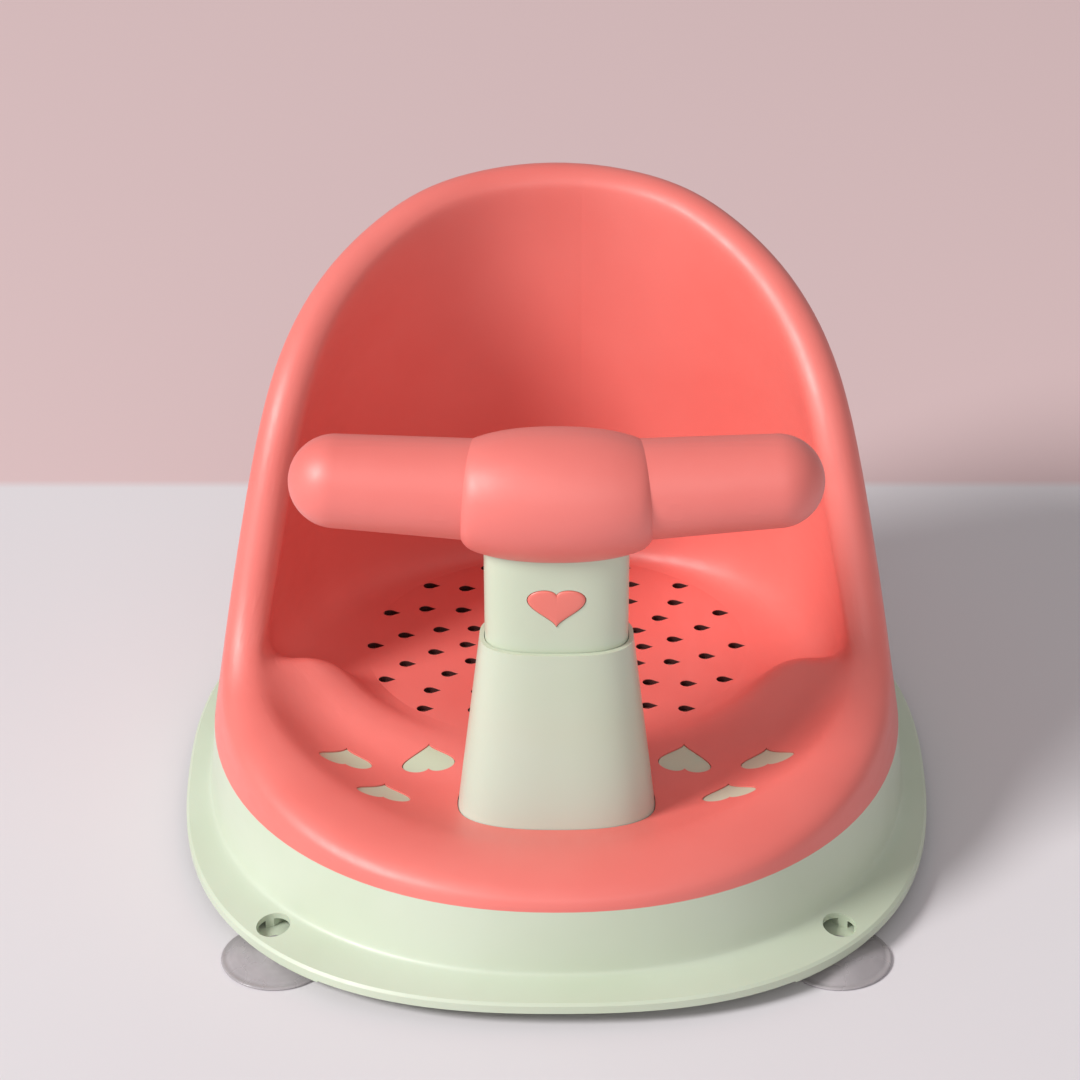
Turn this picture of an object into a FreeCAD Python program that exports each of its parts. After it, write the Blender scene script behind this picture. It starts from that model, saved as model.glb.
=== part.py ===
import FreeCAD, Part
import math
import os

# Baby bath seat, in millimetres. +Z is up and -Y is the side that the child faces.
# The origin is on the bath's floor, under the middle of the base.

# Base: a round skirt that spreads into a flange
FLANGE_HALF_WIDTH = 176.0
FLANGE_HALF_DEPTH = 188.0
FLANGE_SQUARENESS_SHARE = 2.5
FLANGE_BOTTOM = 8.0
FLANGE_EDGE = 5.0
FLANGE_EDGE_CHAMFER = 1.2
RIND_WALL = 2.6
SEAM_HEIGHT = 48.0
SHOULDER_WIDTH = 7.2
SPIGOT_HEIGHT = 2.6
SPIGOT_TAPER = 1.5
SPIGOT_GAP = 0.3
# From the flange's edge to the seam: the share inwards, and the share upwards
SWEEP_SHARES = (
    (0.0, 0.0), (0.4, 0.05), (0.68, 0.085), (0.78, 0.12), (0.81, 0.17), (0.85, 0.32), (0.93, 0.66),
    (1.0, 1.0),
)

# Tray inside the base, level with the flange
TRAY_TOP = 42.5
TRAY_THICKNESS = 2.5
TRAY_RIB_DEPTH = 15.0
TRAY_RIB_THICKNESS = 2.0
TRAY_RIB_PLACE_SHARES = (-0.78, -0.24, 0.06, 0.44, 0.77)
TRAY_DRAIN_RADIUS = 7.0
TRAY_DRAIN_RING = 66.0
TRAY_DRAINS = 12

# Seat: one moulding with a double wall, rolled over at the rim
SEAT_HALF_WIDTH = 162.0
SEAT_HALF_DEPTH = 167.0
SEAT_SQUARENESS_SHARE = 2.12
SIDE_LEAN_SHARE = 0.15
BACK_LEAN_SHARE = 0.02
BACK_RISE = 201.0
RIM_RADIUS = 10.8
FRONT_ROLL_REACH = 27.0
RIM_FRONT_DIP_DEG = 10.0
RIM_BACK_DIP_DEG = 84.0
SEAT_WALL = 3.0
FLOOR_CENTRE_Y = 42.0
FLOOR_HEIGHT = 56.0
FLOOR_TILT_DEG = 3.6
FLOOR_RADIUS = 91.5
INNER_HALF_WIDTH = 146.0
INNER_HALF_DEPTH = 143.0
CORNER_HUG_SHARE = 0.88
RIDGE_RADIUS = 105.0
RIDGE_TURN_DEG = 33.0
RIDGE_HEIGHT = 61.5
RIDGE_CLIMB = 32.0
LEG_DECK_HEIGHT = 55.5
LEG_DECK_CLIMB = 40.0
LEG_DECK_REACH_SHARE = 0.44
HANDLE_SHARE = 0.45
RIM_LIP_MARGIN = 12.0

# Rim line: degrees from the middle of the back, and the share of BACK_RISE there
RIM_RISE_SHARES = (
    (0.0, 1.0), (20.0, 0.983), (40.0, 0.913), (55.0, 0.838), (66.0, 0.761),
    (72.0, 0.697), (76.0, 0.632), (80.0, 0.54), (84.0, 0.41), (87.0, 0.31),
    (90.0, 0.235), (95.0, 0.16), (102.0, 0.105), (112.0, 0.075), (128.0, 0.048),
    (150.0, 0.022), (180.0, 0.01),
)
# How far the deck ridge and the leg deck climb towards the rim's front corners
DECK_CLIMB_SHARES = (
    (0.0, 1.0), (84.0, 1.0), (91.0, 0.93), (96.0, 0.71), (102.0, 0.42), (112.0, 0.15),
    (124.0, 0.04), (150.0, 0.0), (180.0, 0.0),
)
# How far the rim has widened into the broad roll along the front
FRONT_ROLL_SHARES = ((0.0, 0.0), (86.0, 0.0), (100.0, 0.2), (120.0, 0.65), (145.0, 1.0), (180.0, 1.0))
# How much of the surface is backrest, and no longer leg deck
BACKREST_SHARES = ((0.0, 1.0), (84.0, 1.0), (98.0, 0.0), (180.0, 0.0))

# Drain holes shaped like seeds, in rings that twist inwards; radii as shares of FLOOR_RADIUS
SEED_RING_SHARES = (0.95, 0.8, 0.632, 0.465)
SEED_RING_TURNS_DEG = (0.0, -8.2, -16.2, -23.9)
SEEDS_PER_RING = 16
SEED_LENGTH = 8.6
SEED_WIDTH = 6.2

# Heart windows over the legs, as shares of the seat's half width and half depth
WINDOW_PLACE_SHARES = ((0.601, -0.356), (0.365, -0.3575), (0.487, -0.524))
WINDOW_HEART_WIDTH = 24.6
WINDOW_HEART_LENGTH = 17.2
INSERT_RECESS = 0.6
INSERT_GAP = 0.3
INSERT_WALL = 2.2
INSERT_FOOT_MARGIN = 2.6

# Heart outline: weights of the four waves that draw it
HEART_WAVE_SHARES = (13.0, -4.0, -1.2, -0.6)

# Post: a sleeve screwed to the tray, and a stem that plugs into it
POST_Y = -92.0
POST_SQUARENESS_SHARE = 2.8
SLEEVE_FOOT_HALF_WIDTH = 44.9
SLEEVE_FOOT_HALF_DEPTH = 24.0
SLEEVE_MOUTH_HALF_WIDTH = 34.4
SLEEVE_MOUTH_HALF_DEPTH = 18.8
SLEEVE_MOUTH_HEIGHT = 147.0
SLEEVE_WALL = 3.2
SLEEVE_FLANGE_REACH = 4.0
SLEEVE_FLANGE_THICKNESS = 3.0
SOCKET_DEPTH = 64.0
SOCKET_FLOOR = 3.0
SOCKET_DRAIN_RADIUS = 4.0
STEM_HALF_WIDTH = 32.4
STEM_HALF_DEPTH = 16.5
STEM_DRAFT = 0.6
STEM_WALL = 2.6
STEM_TOP_BLOCK = 14.0
STEM_TOP_ABOVE_BAR = 7.0
RUNNING_GAP = 0.3
SEATED_GAP = 0.1
DECK_GAP = 0.4

# T-bar: a barrel with two arms that rise and lean back a little
BAR_HEIGHT = 219.0
BARREL_HALF_LENGTH = 42.0
BARREL_RADIUS = 30.0
BARREL_END_RADIUS = 19.5
# The barrel's outline: shares of its half length, and of the way from its end radius to its middle one
BARREL_OUTLINE_SHARES = ((0.0, 1.0), (0.5, 0.87), (0.8, 0.6), (0.94, 0.33), (1.0, 0.0))
ARM_START_SHARE = 0.6
ARM_REACH = 118.0
ARM_ROOT_RADIUS = 22.8
ARM_END_RADIUS = 20.8
ARM_LIFT_DEG = 2.6
ARM_SWEEP_DEG = 2.6
BAR_WALL = 2.4
ARM_SCREW_PLACE_SHARES = (0.44, 0.73)
BLOCK_SCREW_PLACE_SHARE = 0.5
BAR_SEAT_THICKNESS = 4.0
BLOCK_SEAT_THICKNESS = 3.0
CAP_THICKNESS = 2.4

# Release button, latch and spring
BUTTON_WIDTH = 25.7
BUTTON_LENGTH = 18.8
BUTTON_HEIGHT = 170.0
BUTTON_PROUD = 0.8
BUTTON_EDGE_RADIUS = 0.7
BUTTON_FLANGE_MARGIN = 3.0
BUTTON_FLANGE = 2.0
BUTTON_PAD_RADIUS = 5.0
TONGUE_FRONT = 6.0
TONGUE_WIDTH = 16.0
TONGUE_THICKNESS = 2.0
TONGUE_ABOVE_BUTTON = 8.0
TONGUE_ROOT = 6.0
HOOK_WIDTH = 13.0
HOOK_HEIGHT = 6.0
HOOK_BELOW_MOUTH = 20.0
HOOK_REACH = 1.2
HOOK_GAP = 0.3
PLUG_HEIGHT = 9.0
PLUG_SCREW_PLACE = 22.0
PLUG_BOSS_HEIGHT = 12.0
SPRING_RADIUS = 4.5
SPRING_WIRE_RADIUS = 0.45
SPRING_TURNS = 7

# Suction cups, held by their necks in lugs under the flange
CUP_X = 127.6
CUP_Y = 135.6
CUP_LIP_RADIUS = 25.0
CUP_LIP_THICKNESS = 1.2
CUP_LIP_FLAT = 2.0
CUP_SHOULDER_RADIUS = 7.0
CUP_CROWN = 3.0
CUP_BELLY_RADIUS_SHARE = 0.52
CUP_BELLY_TOP_SHARE = 0.6
CUP_BELLY_BOTTOM_SHARE = 0.75
CUP_NECK_RADIUS = 4.0
CUP_HEAD_RADIUS = 5.2
CUP_HEAD_HEIGHT = 2.2
CUP_HEAD_RIM = 0.9
CUP_DOME_SHARE = 0.67
CUP_NECK_GAP = 0.2
LUG_BOTTOM = 6.0
LUG_RADIUS = 33.0
LUG_THICKNESS = 2.4
GUSSET_SPACING = 11.0
GUSSET_THICKNESS = 2.0
CUP_WINDOW_RADIUS = 7.8
CUP_WINDOW_INSET = 5.5
CUP_WINDOW_SPREAD = 1.0

# Screws and their bosses; the places are shares of the seat's or the sleeve's half sizes
SCREW_RADIUS = 1.7
SCREW_HEAD_RADIUS = 3.6
SCREW_HEAD_HEIGHT = 2.2
SCREW_TIP = 1.6
SCREW_SLOT_WIDTH = 0.9
SCREW_SLOT_DEPTH = 1.2
SCREW_SLOT_SPAN_SHARE = 0.62
SCREW_HOLE_GAP = 0.3
THREAD_GAP = 0.02
BOSS_WALL = 2.6
SEAT_SCREW_LENGTH = 10.0
SLEEVE_SCREW_LENGTH = 16.0
PLUG_SCREW_LENGTH = 11.0
BAR_SCREW_LENGTH = 14.0
SEAT_BOSS_PLACE_SHARES = ((0.105, 0.15), (0.105, 0.353), (0.4926, 0.5707), (0.4, -0.647))
SLEEVE_BOSS_PLACE_SHARE = (0.8, 0.5)
SLEEVE_BOSS_HEIGHT = 17.0
BOSS_COVER = 2.3

# How finely the free-form outlines are drawn, and how far cutting tools run past a face
ANGLE_STEPS = 72
WALL_STEPS = 3
ROLL_STEPS = 6
BOWL_STEPS = 12
HEART_STEPS = 16
CUT_OVERRUN = 2.0
HALF_TURN_DEG = 180.0
FULL_TURN_DEG = 360.0
PROBE_TURN_SHARE = 0.002

V = FreeCAD.Vector
UP = V(0, 0, 1)
FRONT = V(0, -1, 0)
BACK = V(0, 1, 0)
RIGHT = V(1, 0, 0)
POST_AXIS = V(0, POST_Y, 0)
FLOOR_AXIS = V(0, FLOOR_CENTRE_Y, 0)


def blend(low, high, share):
    return low + (high - low) * share


def follow(table, place):
    # a smooth curve through the table's points that never overshoots them
    places = [row[0] for row in table]
    values = [row[1] for row in table]
    steps = [(values[i + 1] - values[i]) / (places[i + 1] - places[i]) for i in range(len(table) - 1)]
    slopes = [0]
    for before, after in zip(steps, steps[1:]):
        slopes.append(2 * before * after / (before + after) if before * after > 0 else 0)
    slopes.append(0)
    index = 0
    while index < len(steps) - 1 and place > places[index + 1]:
        index += 1
    span = places[index + 1] - places[index]
    t = min(max((place - places[index]) / span, 0), 1)
    start = values[index] * (1 + 2 * t) * (1 - t) ** 2 + slopes[index] * span * t * (1 - t) ** 2
    end = values[index + 1] * t * t * (3 - 2 * t) - slopes[index + 1] * span * t * t * (1 - t)
    return start + end


def bezier(start, start_handle, end_handle, end, t):
    first = start * (1 - t) ** 3 + start_handle * (3 * t * (1 - t) ** 2)
    return first + end_handle * (3 * t * t * (1 - t)) + end * t ** 3


def outline_point(angle, half_width, half_depth, squareness, height, centre_y=0):
    # a rounded outline; the angle turns from the back (+Y) towards +X
    across = abs(math.sin(angle)) / half_width
    along = abs(math.cos(angle)) / half_depth
    radius = (across ** squareness + along ** squareness) ** (-1 / squareness)
    return V(radius * math.sin(angle), centre_y + radius * math.cos(angle), height)


def turn_angles():
    return [2 * math.pi * step / ANGLE_STEPS for step in range(ANGLE_STEPS)]


def skin_solid(rows):
    # a closed solid: a smooth surface drawn by rings of points, with a flat end at the first and last
    ring_count, ring_size = len(rows), len(rows[0])
    degree = min(3, ring_count - 1)
    spans = ring_count - degree
    row_repeats = [degree + 1] + [1] * (spans - 1) + [degree + 1]
    around = list(range(ring_size + 1))
    surface = Part.BSplineSurface()
    surface.buildFromPolesMultsKnots(
        rows, row_repeats, [1] * len(around), list(range(spans + 1)), around, False, True, degree, 3)
    side = surface.toShape()
    ends = [Part.Face(Part.Wire([edge])) for edge in side.Edges if edge.isClosed()]
    shell = Part.Shell([side] + ends)
    shell.sewShape()
    solid = Part.Solid(shell)
    if solid.Volume < 0:
        solid.reverse()
    return solid


def prism(wire, along):
    return Part.Face(wire).extrude(along)


def cylinder(radius, base, along):
    return Part.makeCylinder(radius, along.Length, base, along)


def box(low, high):
    size = high - low
    return Part.makeBox(size.x, size.y, size.z, low)


def mirrored_x(shape):
    return shape.mirror(V(0, 0, 0), RIGHT)


def joined(shape, additions):
    return shape.multiFuse(additions).removeSplitter()


def without(shape, tools):
    return shape.cut(Part.makeCompound(tools))


# Seat surface

def fold_degrees(angle):
    degrees = math.degrees(angle) % FULL_TURN_DEG
    return min(degrees, FULL_TURN_DEG - degrees)


def wall_point(angle, height):
    rise = height - SEAM_HEIGHT
    lean = BACK_LEAN_SHARE if math.cos(angle) > 0 else SIDE_LEAN_SHARE
    half_width = SEAT_HALF_WIDTH - SIDE_LEAN_SHARE * rise
    half_depth = SEAT_HALF_DEPTH - lean * rise
    return outline_point(angle, half_width, half_depth, SEAT_SQUARENESS_SHARE, height)


def wall_outward(angle, height):
    along = wall_point(angle + PROBE_TURN_SHARE, height) - wall_point(angle - PROBE_TURN_SHARE, height)
    return V(-along.y, along.x, 0).normalize()


def rim_height(angle):
    return SEAM_HEIGHT + BACK_RISE * follow(RIM_RISE_SHARES, fold_degrees(angle))


def roll_reach(angle):
    return blend(RIM_RADIUS, FRONT_ROLL_REACH, follow(FRONT_ROLL_SHARES, fold_degrees(angle)))


def rim_centre(angle):
    height = rim_height(angle)
    return wall_point(angle, height) - wall_outward(angle, height) * roll_reach(angle)


def floor_slope():
    return math.tan(math.radians(FLOOR_TILT_DEG))


def on_floor(x, y):
    return V(x, y, FLOOR_HEIGHT - floor_slope() * (y - FLOOR_CENTRE_Y))


def back_bowl(lip, floor_edge, angle):
    base = outline_point(angle, INNER_HALF_WIDTH, INNER_HALF_DEPTH, SEAT_SQUARENESS_SHARE, 0)
    corner = on_floor(base.x, base.y)
    upper = blend(lip, corner, CORNER_HUG_SHARE)
    lower = blend(floor_edge, corner, CORNER_HUG_SHARE)
    return [bezier(lip, upper, lower, floor_edge, step / BOWL_STEPS) for step in range(1, BOWL_STEPS + 1)]


def front_bowl(lip, lip_along, floor_edge, angle, inward, reach):
    climb = follow(DECK_CLIMB_SHARES, fold_degrees(angle))
    turn = math.degrees(math.atan2(abs(inward.x), inward.y))
    swing = math.radians(max(turn - RIDGE_TURN_DEG, 0))
    ridge_reach = min(RIDGE_RADIUS / max(math.cos(swing), RIDGE_RADIUS / reach), reach - RIM_LIP_MARGIN)
    deck_reach = blend(ridge_reach, reach, LEG_DECK_REACH_SHARE)
    ridge = FLOOR_AXIS - inward * ridge_reach + UP * (RIDGE_HEIGHT + RIDGE_CLIMB * climb)
    deck = FLOOR_AXIS - inward * deck_reach + UP * (LEG_DECK_HEIGHT + LEG_DECK_CLIMB * climb)
    lip_handle = lip_along * (RIM_RADIUS * HANDLE_SHARE)
    outer_run = inward * ((reach - deck_reach) * HANDLE_SHARE)
    slope_run = inward * ((deck_reach - ridge_reach) * HANDLE_SHARE)
    floor_run = inward * ((ridge_reach - FLOOR_RADIUS) * HANDLE_SHARE)
    floor_back = V(floor_run.x, floor_run.y, -floor_slope() * floor_run.y)
    legs = (
        (lip, lip + lip_handle, deck - outer_run, deck),
        (deck, deck + slope_run, ridge - slope_run, ridge),
        (ridge, ridge + floor_run, floor_edge - floor_back, floor_edge),
    )
    per_leg = BOWL_STEPS // len(legs)
    return [bezier(*leg, step / per_leg) for leg in legs for step in range(1, per_leg + 1)]


def seat_column(angle):
    # points from the seam up the outer wall, over the rim and down to the floor's edge
    height = rim_height(angle)
    outward = wall_outward(angle, height)
    centre = rim_centre(angle)
    along = rim_centre(angle + PROBE_TURN_SHARE) - rim_centre(angle - PROBE_TURN_SHARE)
    over = along.cross(outward).normalize()
    backrest = follow(BACKREST_SHARES, fold_degrees(angle))
    wall = [wall_point(angle, blend(SEAM_HEIGHT, height, step / WALL_STEPS)) for step in range(WALL_STEPS)]
    dip = math.radians(blend(RIM_FRONT_DIP_DEG, RIM_BACK_DIP_DEG, backrest))
    across, up = outward * roll_reach(angle), over * RIM_RADIUS
    roll = []
    for step in range(ROLL_STEPS + 1):
        turn = (math.pi / 2 + dip) * step / ROLL_STEPS
        roll.append(centre + across * math.cos(turn) + up * math.sin(turn))
    lip = roll[-1]
    lip_along = (across * -math.cos(dip) - up * math.sin(dip)).normalize()
    inward = V(FLOOR_AXIS.x - lip.x, FLOOR_AXIS.y - lip.y, 0)
    reach = inward.Length
    inward.normalize()
    edge = FLOOR_AXIS - inward * FLOOR_RADIUS
    floor_edge = on_floor(edge.x, edge.y)
    bowl = back_bowl(lip, floor_edge, angle)
    if backrest < 1:
        legs = front_bowl(lip, lip_along, floor_edge, angle, inward, reach)
        bowl = [blend(leg, rest, backrest) for leg, rest in zip(legs, bowl)]
    return wall + roll + bowl


def seat_rows():
    columns = [seat_column(angle) for angle in turn_angles()]
    return [list(row) for row in zip(*columns)]


def sunk_rows(rows, depth):
    # the same surface, moved inwards, with a skirt below the seam that reaches past the tray's top
    sunk = []
    for i, row in enumerate(rows):
        below, above = rows[max(i - 1, 0)], rows[min(i + 1, len(rows) - 1)]
        moved = []
        for j, point in enumerate(row):
            normal = (above[j] - below[j]).cross(row[(j + 1) % ANGLE_STEPS] - row[j - 1]).normalize()
            if i == 0:
                normal = V(normal.x, normal.y, 0).normalize()
            if i == len(rows) - 1:
                normal = V(0, floor_slope(), 1).normalize()
            moved.append(point - normal * depth)
        sunk.append(moved)
    drop = SEAM_HEIGHT - TRAY_TOP + CUT_OVERRUN
    skirt = []
    for fall in (drop, drop / 2):
        down = [V(point.x, point.y, 0).normalize() * (SIDE_LEAN_SHARE * fall) - UP * fall for point in sunk[0]]
        skirt.append([point + move for point, move in zip(sunk[0], down)])
    return skirt + sunk


def deck_height(rows, x, y):
    # the height of the seat surface over a place beside the floor disc
    bowl = [point for row in rows[-BOWL_STEPS:] for point in row]
    return min(bowl, key=lambda point: math.hypot(point.x - x, point.y - y)).z


# Hearts, seeds and screws

def heart_wire(width, length, centre, across, tip):
    # tip points from the lobes towards the heart's point
    def places(start, end):
        for step in range(HEART_STEPS + 1):
            t = blend(start, end, step / HEART_STEPS)
            yield math.sin(t) ** 3, sum(w * math.cos((k + 1) * t) for k, w in enumerate(HEART_WAVE_SHARES))
    sides = [list(places(0, math.pi)), list(places(math.pi, 2 * math.pi))]
    top, bottom = max(p[1] for p in sides[0]), min(p[1] for p in sides[0])
    edges = []
    for side in sides:
        points = []
        for x, wave in side:
            down = (top - wave) / (top - bottom) - 1 / 2
            points.append(centre + across * (x * width / 2) + tip * (down * length))
        curve = Part.BSplineCurve()
        curve.interpolate(points)
        edges.append(curve.toShape())
    return Part.Wire(edges)


def seed_wire(centre):
    # round at one end and pointed at the other, towards +X
    radius = SEED_WIDTH / 2
    middle = centre - RIGHT * (SEED_LENGTH / 2 - radius)
    point = centre + RIGHT * (SEED_LENGTH / 2)
    lean = math.acos(radius / (point - middle).Length)
    upper = middle + V(math.cos(lean), math.sin(lean), 0) * radius
    lower = middle + V(math.cos(lean), -math.sin(lean), 0) * radius
    round_end = Part.Arc(upper, middle - RIGHT * radius, lower).toShape()
    return Part.Wire([round_end, Part.makeLine(lower, point), Part.makeLine(point, upper)])


def seed_tools():
    tools = []
    for share, turn in zip(SEED_RING_SHARES, SEED_RING_TURNS_DEG):
        for step in range(SEEDS_PER_RING):
            angle = math.radians(turn + FULL_TURN_DEG * step / SEEDS_PER_RING)
            place = V(math.cos(angle), math.sin(angle), 0) * (share * FLOOR_RADIUS)
            place -= UP * (SEAT_WALL + CUT_OVERRUN)
            tools.append(prism(seed_wire(place), UP * (SEAT_WALL + 2 * CUT_OVERRUN)))
    tool = Part.makeCompound(tools)
    tool.rotate(V(0, 0, 0), RIGHT, -FLOOR_TILT_DEG)
    tool.translate(FLOOR_AXIS + UP * FLOOR_HEIGHT)
    return tool


def window_places():
    places = [(x * SEAT_HALF_WIDTH, y * SEAT_HALF_DEPTH) for x, y in WINDOW_PLACE_SHARES]
    return [(side * x, y) for x, y in places for side in (1, -1)]


def screw(length, head_seat, along):
    # head_seat is where the head's flat underside bears; along points to the tip
    head = cylinder(SCREW_HEAD_RADIUS, head_seat, along * -SCREW_HEAD_HEIGHT)
    shank = cylinder(SCREW_RADIUS, head_seat, along * (length - SCREW_TIP))
    tip = Part.makeCone(SCREW_RADIUS, SCREW_RADIUS / 2, SCREW_TIP, head_seat + along * (length - SCREW_TIP), along)
    solid = head.multiFuse([shank, tip])
    across = BACK if abs(along.z) > 0 else UP
    crown = head_seat - along * (SCREW_HEAD_HEIGHT + CUT_OVERRUN)
    for side in (RIGHT, across):
        other = side.cross(along)
        reach = side * (SCREW_HEAD_RADIUS * SCREW_SLOT_SPAN_SHARE)
        half = other * (SCREW_SLOT_WIDTH / 2)
        corners = [crown - reach - half, crown + reach - half, crown + reach + half, crown - reach + half]
        slot = prism(Part.makePolygon(corners + corners[:1]), along * (CUT_OVERRUN + SCREW_SLOT_DEPTH))
        solid = solid.cut(slot)
    return solid


def screw_hole(length, start, along):
    radius = SCREW_RADIUS + THREAD_GAP
    return cylinder(radius, start - along * CUT_OVERRUN, along * (length + CUT_OVERRUN + THREAD_GAP))


def boss_radius():
    return SCREW_RADIUS + BOSS_WALL


def tray_bottom():
    return TRAY_TOP - TRAY_THICKNESS


def seat_boss_places():
    places = [(x * SEAT_HALF_WIDTH, y * SEAT_HALF_DEPTH) for x, y in SEAT_BOSS_PLACE_SHARES]
    return [(side * x, y) for x, y in places for side in (1, -1)]


def sleeve_boss_places():
    x = SLEEVE_BOSS_PLACE_SHARE[0] * SLEEVE_FOOT_HALF_WIDTH
    y = SLEEVE_BOSS_PLACE_SHARE[1] * SLEEVE_FOOT_HALF_DEPTH
    return [(side * x, POST_Y + end * y) for side in (1, -1) for end in (1, -1)]


def seat_boss_top(rows, x, y):
    # behind the post the bosses stand under the flat floor or close beside it
    level = on_floor(x, y).z if y > 0 else deck_height(rows, x, y)
    return level - BOSS_COVER


# Post sizes at a height

def sleeve_half_sizes(height, margin=0):
    share = (height - LEG_DECK_HEIGHT) / (SLEEVE_MOUTH_HEIGHT - LEG_DECK_HEIGHT)
    half_width = blend(SLEEVE_FOOT_HALF_WIDTH, SLEEVE_MOUTH_HALF_WIDTH, share)
    return half_width + margin, blend(SLEEVE_FOOT_HALF_DEPTH, SLEEVE_MOUTH_HALF_DEPTH, share) + margin


def socket_floor():
    return SLEEVE_MOUTH_HEIGHT - SOCKET_DEPTH


def stem_bottom():
    return socket_floor() + RUNNING_GAP


def stem_top():
    return BAR_HEIGHT + STEM_TOP_ABOVE_BAR


def stem_half_sizes(height, margin=0):
    draft = STEM_DRAFT * (stem_top() - height) / (stem_top() - stem_bottom())
    return STEM_HALF_WIDTH - draft + margin, STEM_HALF_DEPTH - draft + margin


def post_solid(half_sizes, low, high, margin=0):
    rows = []
    for height in (low, high):
        half_width, half_depth = half_sizes(height, margin)
        rows.append([
            outline_point(a, half_width, half_depth, POST_SQUARENESS_SHARE, height, POST_Y)
            for a in turn_angles()
        ])
    return skin_solid(rows)


def hook_height():
    return SLEEVE_MOUTH_HEIGHT - HOOK_BELOW_MOUTH


def hook_box(front, back, margin):
    # a block in front of the post's axis at the hook's height, from y = front to y = back
    half_width, half_height = HOOK_WIDTH / 2 + margin, HOOK_HEIGHT / 2 + margin
    low = V(-half_width, front, hook_height() - half_height)
    return box(low, V(half_width, back, hook_height() + half_height))


def hook_tip():
    return POST_Y - STEM_HALF_DEPTH - RUNNING_GAP - HOOK_REACH


# Seat and base

def make_seat_shell(rows):
    shell = skin_solid(rows).cut(skin_solid(sunk_rows(rows, SEAT_WALL)))
    bosses = []
    holes = []
    for x, y in seat_boss_places():
        rise = seat_boss_top(rows, x, y) - TRAY_TOP
        bosses.append(cylinder(boss_radius(), V(x, y, TRAY_TOP), UP * rise))
        holes.append(screw_hole(rise - THREAD_GAP, V(x, y, TRAY_TOP), UP))
    shell = shell.multiFuse(bosses)
    tools = holes + [seed_tools()]
    tools.append(post_solid(sleeve_half_sizes, TRAY_TOP, TRAY_TOP + window_height(), DECK_GAP))
    tools.append(heart_columns(0))
    return without(shell, tools)


def window_height():
    # how far the tools that open the deck reach above the tray
    return LEG_DECK_HEIGHT + LEG_DECK_CLIMB - TRAY_TOP


def heart_columns(margin):
    # six upright hearts at the windows' places, grown by the margin all round
    width, length = WINDOW_HEART_WIDTH + 2 * margin, WINDOW_HEART_LENGTH + 2 * margin
    wires = [heart_wire(width, length, V(x, y, TRAY_TOP), RIGHT, BACK) for x, y in window_places()]
    return Part.makeCompound([prism(wire, UP * window_height()) for wire in wires])


def make_heart_inserts(rows):
    # each one stands on the tray, with its foot under the deck and its face in the window
    foot_depth = SEAT_WALL + SEATED_GAP
    layers = (
        (INSERT_FOOT_MARGIN, foot_depth), (-INSERT_GAP, INSERT_RECESS),
        (INSERT_FOOT_MARGIN - INSERT_WALL, foot_depth + INSERT_WALL),
        (-INSERT_GAP - INSERT_WALL, INSERT_RECESS + INSERT_WALL),
    )
    cut = [heart_columns(margin).common(skin_solid(sunk_rows(rows, depth))) for margin, depth in layers]
    inserts = []
    for foot, face, foot_hollow, face_hollow in zip(*[layer.Solids for layer in cut]):
        inserts.append(foot.fuse(face).cut(Part.makeCompound([foot_hollow, face_hollow])).removeSplitter())
    return Part.makeCompound([insert.Solids[0] for insert in inserts])


def rind_ring(share, inset, height):
    # blends from the flange's outline (0) to the seam's outline (1)
    ring = []
    for angle in turn_angles():
        flange = outline_point(
            angle, FLANGE_HALF_WIDTH - inset, FLANGE_HALF_DEPTH - inset, FLANGE_SQUARENESS_SHARE, height)
        seam = outline_point(angle, SEAT_HALF_WIDTH - inset, SEAT_HALF_DEPTH - inset, SEAT_SQUARENESS_SHARE, height)
        ring.append(blend(flange, seam, share))
    return ring


def rind_sweep(flange_inset, wall_inset, drop):
    # rings from the flange's upper edge to the skirt's foot, and up the skirt to the seam
    low = FLANGE_BOTTOM + FLANGE_EDGE - drop
    rings = []
    for inward, upward in SWEEP_SHARES:
        inset = blend(flange_inset, wall_inset, inward)
        rings.append(rind_ring(inward, inset, blend(low, SEAM_HEIGHT, upward)))
    return rings


def rind_hollow(inset):
    # the space under the flange and the tray
    low = LUG_BOTTOM - CUT_OVERRUN
    rings = [rind_ring(0, inset, low), rind_ring(0, inset, FLANGE_BOTTOM)]
    space = skin_solid(rings + rind_sweep(inset, inset, inset))
    reach = FLANGE_HALF_DEPTH * 2
    return space.cut(box(V(-reach, -reach, tray_bottom()), V(reach, reach, SEAM_HEIGHT + reach)))


def cup_places():
    return [(side * CUP_X, end * CUP_Y) for end in (-1, 1) for side in (-1, 1)]


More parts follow.
